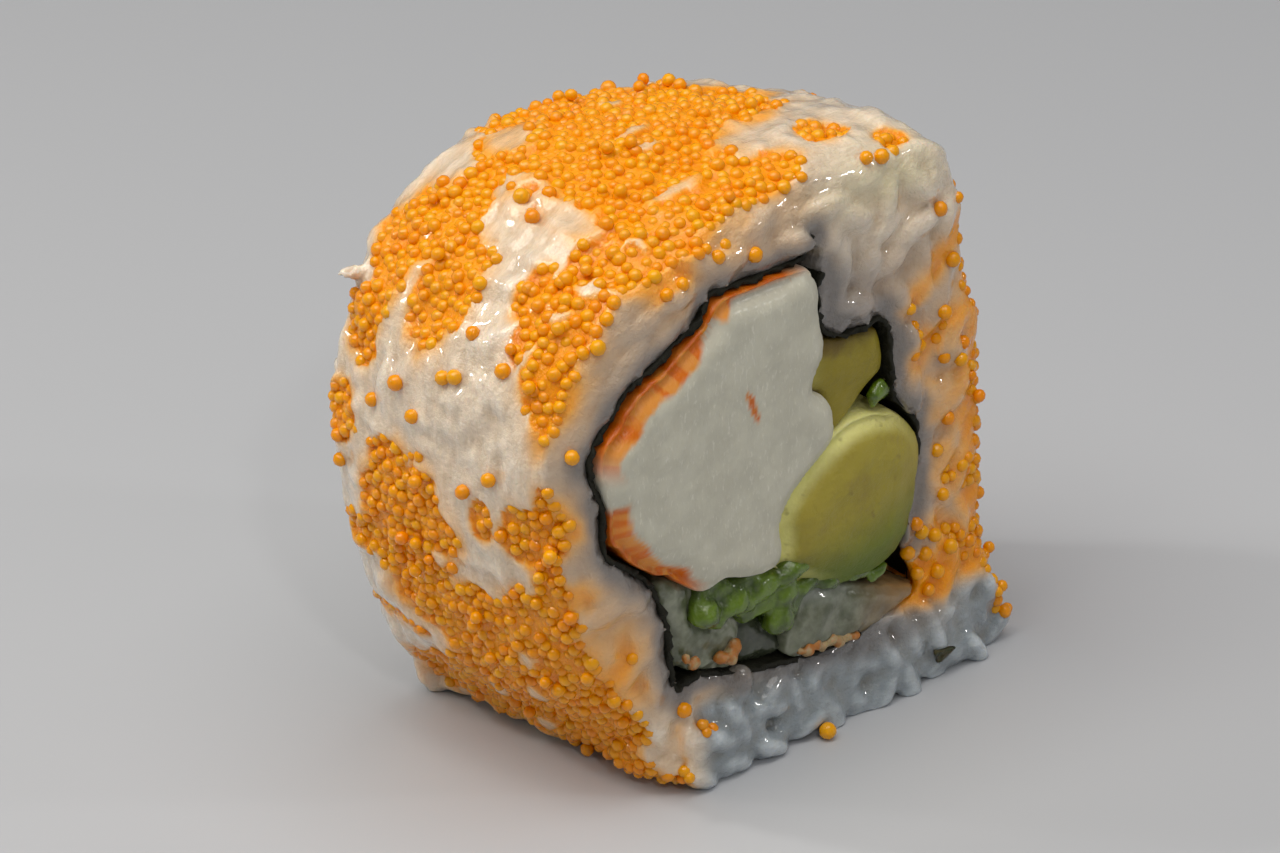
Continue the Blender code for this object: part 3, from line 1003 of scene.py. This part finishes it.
def filling(node, grow, voxel=FILLING_VOXEL, smoothing=2, extra=None):
    """A CAD filling piece with a fine even skin, grown by a length to meet its neighbours."""
    bm = cad_solid(node)
    if extra:
        for matrix in extra:
            shape = ball("lump", 12, 8)
            shape.transform(matrix)
            bm.from_mesh(shape)
            bpy.data.meshes.remove(shape)
    mesh = fused(node + "_piece", bm, voxel, smoothing)
    points = places(mesh)
    outs = normals(mesh)
    sideways = outs.copy()
    sideways[:, 1] *= 0.3
    # Beside the nori it grows until it all but touches it.
    gap = nori_distance(points)
    beside = smooth_step(1.3, 0.8, gap)
    growth = beside * np.clip(gap - 0.10, 0.05, 0.6) * MM + (1 - beside) * grow
    move_to(mesh, points + sideways * growth[:, None])
    return mesh


def edge_distance(mesh):
    """How far each vertex is from the piece's side, across the cut, in mm."""
    points = places(mesh)
    outs = normals(mesh)
    sides = np.flatnonzero(np.abs(outs[:, 1]) < 0.35)
    tree = KDTree(len(sides))
    for index in sides:
        tree.insert(Vector((points[index, 0], points[index, 1] * 0.5, points[index, 2])), index)
    tree.balance()
    return np.array([
        tree.find(Vector((p[0], p[1] * 0.5, p[2])))[2] for p in points
    ]) / MM


def raise_cuts(points, outs, height):
    """Moves both cuts outwards by a height in mm and leaves the sides."""
    on_cut = smooth_step(0.5, 0.9, np.abs(outs[:, 1]))
    points[:, 1] += np.sign(points[:, 1]) * on_cut * height * MM


def roughen_sides(points, outs, height, size, seed):
    """Makes the sides wavy by a height in mm and leaves the cuts."""
    on_cut = smooth_step(0.5, 0.9, np.abs(outs[:, 1]))
    waves = (1 - on_cut) * height * ripple(points, size, seed) * MM
    points[:, 0] += outs[:, 0] * waves
    points[:, 2] += outs[:, 2] * waves


def make_crab_stick():
    """The stick, with its striped skin and the torn, slightly domed flesh of its cuts."""
    mesh = filling("crab_stick", 0.22 * MM)
    points = places(mesh)
    outs = normals(mesh)
    inner = edge_distance(mesh)
    x = points[:, 0] / MM
    z = points[:, 2] / MM
    # The skin is on the side that faces up and to the left, and round below.
    corner_angle = np.degrees(np.arctan2(z - CRAB_MIDDLE[1], x - CRAB_MIDDLE[0])) % 360
    skinned = np.maximum(
        smooth_step(52, 66, corner_angle) * smooth_step(180, 164, corner_angle),
        smooth_step(186, 192, corner_angle) * smooth_step(262, 246, corner_angle),
    )
    thick = smooth_step(98, 116, corner_angle)
    width = 0.30 + thick * (1.00 + 0.45 * ripple(points, (1.6 * MM, 9 * MM, 1.6 * MM), 11))
    width += 0.9 * np.exp(-((corner_angle - 93) / 4) ** 2)
    width -= 0.5 * smooth_step(215, 235, corner_angle)
    skin = skinned * smooth_step(width + 0.22, width - 0.08, inner)
    edge = skinned * smooth_step(0.45, 0.0, inner + 0.35 * ripple(points, 0.9 * MM, 12))
    # A shred of skin that has come to lie on the cut.
    right = x - SKIN_SHRED[0]
    up = z - SKIN_SHRED[1]
    along = 0.40 * right - 0.92 * up
    across = 0.92 * right + 0.40 * up + 0.10 * ripple(points, 0.8 * MM, 42)
    shred = smooth_step(1.15, 0.85, np.hypot(along / 1.35, across / 0.27)) * (points[:, 1] < 0)
    skin = np.maximum(skin, shred)
    edge = np.maximum(edge, 0.6 * shred)
    stripe = 0.5 + 0.5 * ripple(
        np.stack([corner_angle * 0.22 * MM, points[:, 1] * 0.02, inner * 0.25 * MM], 1),
        1.0 * MM, 13,
    )
    paint(mesh, "skin", skin)
    paint(mesh, "skin_edge", edge * 0.8)
    paint(mesh, "stripe", stripe)
    # The rim of the cut falls away, most on the skinned side.
    rough = 0.05 * ripple(points, 0.6 * MM, 14) + 0.10 * ripple(points, 3.0 * MM, 15)
    fall = -0.75 * skinned * smooth_step(2.0, 0.0, inner) - 0.25 * smooth_step(1.2, 0.0, inner)
    raise_cuts(points, outs, rough + fall)
    roughen_sides(points, outs, 0.10, (0.9 * MM, 4 * MM, 0.9 * MM), 16)
    move_to(mesh, points)
    return mesh


def make_avocado(node):
    """A slice: domed at the cut, with a painted highlight that makes it paler along its upper left
    edge, and greener below.
    """
    mesh = filling(node, 0.24 * MM)
    points = places(mesh)
    outs = normals(mesh)
    inner = edge_distance(mesh)
    low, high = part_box(node)
    x = (points[:, 0] - low.x) / (high.x - low.x)
    z = (points[:, 2] - low.z) / (high.z - low.z)
    lower = node == "avocado_lower"
    paint(mesh, "olive", np.full(len(points), 0.0 if lower else 0.85))
    dome = (0.85 if lower else 0.25) * smooth_step(0.0, 3.0, inner)
    upper_left = smooth_step(0.25, 0.75, (z - x + 1) / 2)
    rise = dome - (0.9 * upper_left * smooth_step(1.5, 0.2, inner) if lower else 0)
    waves = 0.14 * ripple(points, 1.8 * MM, 17) + 0.06 * ripple(points, 0.7 * MM, 43)
    raise_cuts(points, outs, rise + waves)
    move_to(mesh, points)
    if lower:
        paint(mesh, "green", smooth_step(0.55, 0.05, z - 0.15 * (x - 0.5)) * 0.95)
        # Painted highlight along the upper left rim, which faces the light.
        paint(mesh, "pale_edge", upper_left * smooth_step(1.35, 0.75, inner))
        paint(mesh, "brown_edge", 0.35 * smooth_step(0.35, 0.0, inner) * (1 - upper_left))
    else:
        paint(mesh, "green", np.zeros(len(points)))
        # Painted highlight: paler towards the left end, which faces the light.
        paint(mesh, "pale_edge", smooth_step(0.35, 0.0, x) * 0.35)
        brown = smooth_step(0.80, 1.0, z + 0.10 * ripple(points, 0.8 * MM, 18))
        left_line = smooth_step(0.55, 0.1, inner) * smooth_step(0.55, 0.3, x)
        paint(mesh, "brown_edge", np.maximum(brown * 0.7, left_line * 0.9))
    return mesh


def make_mash():
    """Soft lumps squeezed between the slices, spilling a little over the cut."""
    draws = np.random.default_rng(SEED + 2)
    lumps = []
    # Across and up, half-length, half-width and tilt in degrees.
    spots = [
        (-6.8, 12.6, 1.1, 0.95, 20), (-4.3, 12.6, 1.5, 0.80, 10), (-1.8, 12.7, 1.6, 0.80, 15),
        (0.8, 13.2, 1.6, 0.85, 20), (2.3, 14.0, 1.3, 0.70, 40), (-0.2, 9.9, 1.4, 0.95, 60),
        (0.4, 11.3, 1.3, 0.80, 70), (2.2, 11.4, 1.1, 0.60, 0), (4.3, 11.0, 1.7, 0.50, -8),
        (6.9, 10.5, 1.5, 0.45, -14), (-3.0, 12.0, 0.8, 0.60, 80), (-5.6, 11.7, 0.8, 0.60, 40),
        (8.6, 23.1, 0.60, 0.50, 30), (8.3, 22.5, 0.40, 0.35, 0), (8.9, 9.9, 0.9, 0.45, 20),
    ]
    for x, z, half_length, half_width, tilt in spots:
        for y in (CUT_Y[0] + 0.1 * MM, CUT_Y[1] - 0.4 * MM):
            size = [half_length, half_width * draws.uniform(0.9, 1.1), half_width]
            if z > 20:
                y += math.copysign(0.3 * MM, -y)
            turn = Matrix.Rotation(math.radians(-tilt), 4, "Y")
            place = Matrix.Translation((x * MM, y, z * MM))
            lumps.append(place @ turn @ Matrix.Diagonal((*[s * MM for s in size], 1.0)))
    mesh = filling("avocado_mash", 0.10 * MM, MASH_VOXEL, 1, lumps)
    points = places(mesh)
    outs = normals(mesh)
    bumps = 0.22 * ripple(points, 1.3 * MM, 19) + 0.13 * ripple(points, 0.6 * MM, 20)
    points += outs * (bumps * MM)[:, None]
    move_to(mesh, points)
    # Painted shade: how deep each spot lies below the smoothed surface, for the finish to darken.
    even = smoothed(mesh, 10)
    hollow = np.sum((even - points) * normals(mesh), axis=1) / (0.25 * MM)
    paint(mesh, "hollow", np.clip(hollow, 0, 1))
    return mesh


def make_cucumber(node, dark):
    """A strip with a wavy cut. The seedy core between the two pale strips is dark."""
    mesh = filling(node, 0.20 * MM, smoothing=3)
    points = places(mesh)
    outs = normals(mesh)
    waves = 0.22 * ripple(points, 1.6 * MM, 21) + 0.10 * ripple(points, 0.6 * MM, 22)
    raise_cuts(points, outs, waves - 0.35 * smooth_step(0.8, 0, edge_distance(mesh)))
    roughen_sides(points, outs, 0.12, 1.2 * MM, 23)
    move_to(mesh, points)
    mottled = 0.35 * (0.5 + 0.5 * ripple(points, 1.1 * MM, 24))
    paint(mesh, "dark", np.clip(dark + mottled * (1 - dark), 0, 1))
    x = points[:, 0] / MM + 0.8 * ripple(points, 1.4 * MM, 44)
    paint(mesh, "orange", 0.75 * smooth_step(5.0, 11.5, x))
    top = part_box(node)[1].z + 0.4 * MM * ripple(points, 1.2 * MM, 49)
    pale = smooth_step(2.2 * MM, 0.9 * MM, top - points[:, 2]) * (node == "cucumber_right")
    paint(mesh, "pale", 0.8 * pale)
    return mesh


def make_crumbs():
    """Bits of rice, browned by the roe, that stick to the filling along its lower edge."""
    draws = np.random.default_rng(SEED + 3)
    # Across and up on the cut, and size.
    spots = [
        (1.6, 6.7, 0.36), (2.3, 6.5, 0.42), (3.1, 6.6, 0.38), (3.7, 6.3, 0.44), (4.5, 6.4, 0.36),
        (5.1, 6.1, 0.46), (5.9, 6.1, 0.40), (6.6, 6.0, 0.36), (-4.8, 8.7, 0.62),
        (-5.5, 8.9, 0.50), (-4.3, 9.3, 0.48), (-7.9, 9.4, 0.40), (-8.6, 10.0, 0.34),
    ]
    matrices = []
    for x, z, size in spots:
        for y in (CUT_Y[0] - 0.12 * MM, CUT_Y[1] - 0.1 * MM):
            along = Vector(draws.normal(size=3))
            stretched = [size * MM * draws.uniform(0.8, 1.3) for _ in range(3)]
            matrices.append(facing(Vector((x * MM, y, z * MM)), (0, -1, 0.2), along, stretched))
    mesh = fused("rice_crumbs", scattered(ball("bit", 12, 8), matrices), CRUMB_VOXEL, 1)
    points = places(mesh)
    bumps = 0.14 * ripple(points, 0.5 * MM, 45)
    move_to(mesh, points + normals(mesh) * bumps[:, None] * MM)
    return mesh


def make_flake(rice):
    """A torn scrap of the nori in the rice at the foot of the front cut."""
    bm = bmesh.new()
    bmesh.ops.create_grid(bm, x_segments=8, y_segments=6, size=1.0)
    for vertex in bm.verts:
        narrow = 1 - 0.8 * (vertex.co.y + 1) / 2
        wave = noise.noise(vertex.co * 1.1 + Vector((3.0, 1.0, 2.0)))
        vertex.co = Vector((vertex.co.x * narrow + 0.3 * wave, vertex.co.y * 0.55, 0.15 * wave))
    bmesh.ops.solidify(bm, geom=bm.faces[:], thickness=0.20)
    bmesh.ops.recalc_face_normals(bm, faces=bm.faces)
    mesh = as_mesh("nori_flake", bm)
    place, out = cut_place(skin_of(rice), *NORI_FLAKE)
    mesh.transform(facing(place + out * 0.16 * MM, out, (-1, 0, 0.2), [1.0 * MM] * 3))
    return mesh


# ---------------------------------------------------------------- studio


def make_floor():
    """A plain pale floor for the piece to stand on."""
    bm = bmesh.new()
    bmesh.ops.create_grid(bm, x_segments=1, y_segments=1, size=1.5)
    mesh = as_mesh("floor", bm)
    floor = bpy.data.objects.new("floor", mesh)
    bpy.context.scene.collection.objects.link(floor)
    finish = Finish("pale_floor", Roughness=0.55)
    cloud = finish.grain(0.2)
    finish.set(Base_Color=finish.mix(cloud, (0.46, 0.475, 0.50), (0.48, 0.495, 0.52)))
    mesh.materials.append(finish.material)


def make_light(name, azimuth, elevation, distance, size, power, colour):
    """A soft square light that looks at the roll from a direction."""
    data = bpy.data.lights.new(name, "AREA")
    data.size = size
    data.energy = power
    data.color = colour
    light = bpy.data.objects.new(name, data)
    bpy.context.scene.collection.objects.link(light)
    place = AXIS + from_direction(azimuth, elevation) * distance
    light.location = place
    light.rotation_euler = (AXIS - place).to_track_quat("-Z", "Y").to_euler()


def from_direction(azimuth, elevation):
    """The unit vector towards an azimuth from the front, growing to the right."""
    a = math.radians(azimuth)
    e = math.radians(elevation)
    return Vector((math.sin(a) * math.cos(e), -math.cos(a) * math.cos(e), math.sin(e)))


def make_camera():
    """A long lens, from the front left and above."""
    data = bpy.data.cameras.new("camera")
    data.lens = CAMERA_LENS
    data.sensor_width = 36.0
    data.clip_start = 0.01
    camera = bpy.data.objects.new("camera", data)
    bpy.context.scene.collection.objects.link(camera)
    target = Vector((CAMERA_TARGET[0] * MM, CUT_Y[0], CAMERA_TARGET[1] * MM))
    back = from_direction(*CAMERA_DIRECTION)
    camera.location = target + back * CAMERA_DISTANCE
    camera.rotation_euler = back.to_track_quat("Z", "Y").to_euler()
    bpy.context.scene.camera = camera


def make_studio():
    """The floor, the lights and a faint even sky."""
    make_floor()
    for name, light in LIGHTS.items():
        make_light(name, *light)
    world = bpy.data.worlds.new("studio")
    world.use_nodes = True
    background = world.node_tree.nodes["Background"]
    background.inputs["Color"].default_value = SKY_COLOUR
    background.inputs["Strength"].default_value = SKY_STRENGTH
    bpy.context.scene.world = world
    bpy.context.scene.view_settings.view_transform = "Standard"


# ---------------------------------------------------------------- the piece


def main():
    """Builds every piece, shows it with its finish and sets up the studio."""
    rice = make_rice()
    roe = make_roe(rice)
    show("rice_packed", rice, rice_finish(), ["rice"])
    show("roe_eggs", roe, roe_finish())
    show("nori_sheet", make_nori(), nori_finish(), ["nori"])
    show("crab_meat", make_crab_stick(), crab_finish(), ["crab_stick"])
    avocado = avocado_finish()
    for node in ("avocado_upper", "avocado_lower"):
        show(node + "_slice", make_avocado(node), avocado, [node])
    show("avocado_mashed", make_mash(), mash_finish(), ["avocado_mash"])
    crumbs = crumb_finish("crumbs", (0.42, 0.30, 0.15), (0.42, 0.16, 0.03))
    show("rice_crumbs", make_crumbs(), crumbs)
    torn = crumb_finish("torn_nori", (0.030, 0.035, 0.012), (0.065, 0.055, 0.015))
    show("nori_flake", make_flake(rice), torn)
    cucumber = cucumber_finish()
    for node, dark in (("cucumber_right", 0.1), ("cucumber_left", 0.0), ("cucumber_core", 0.9)):
        show(node + "_slice", make_cucumber(node, dark), cucumber, [node])
    make_studio()
    make_camera()


main()
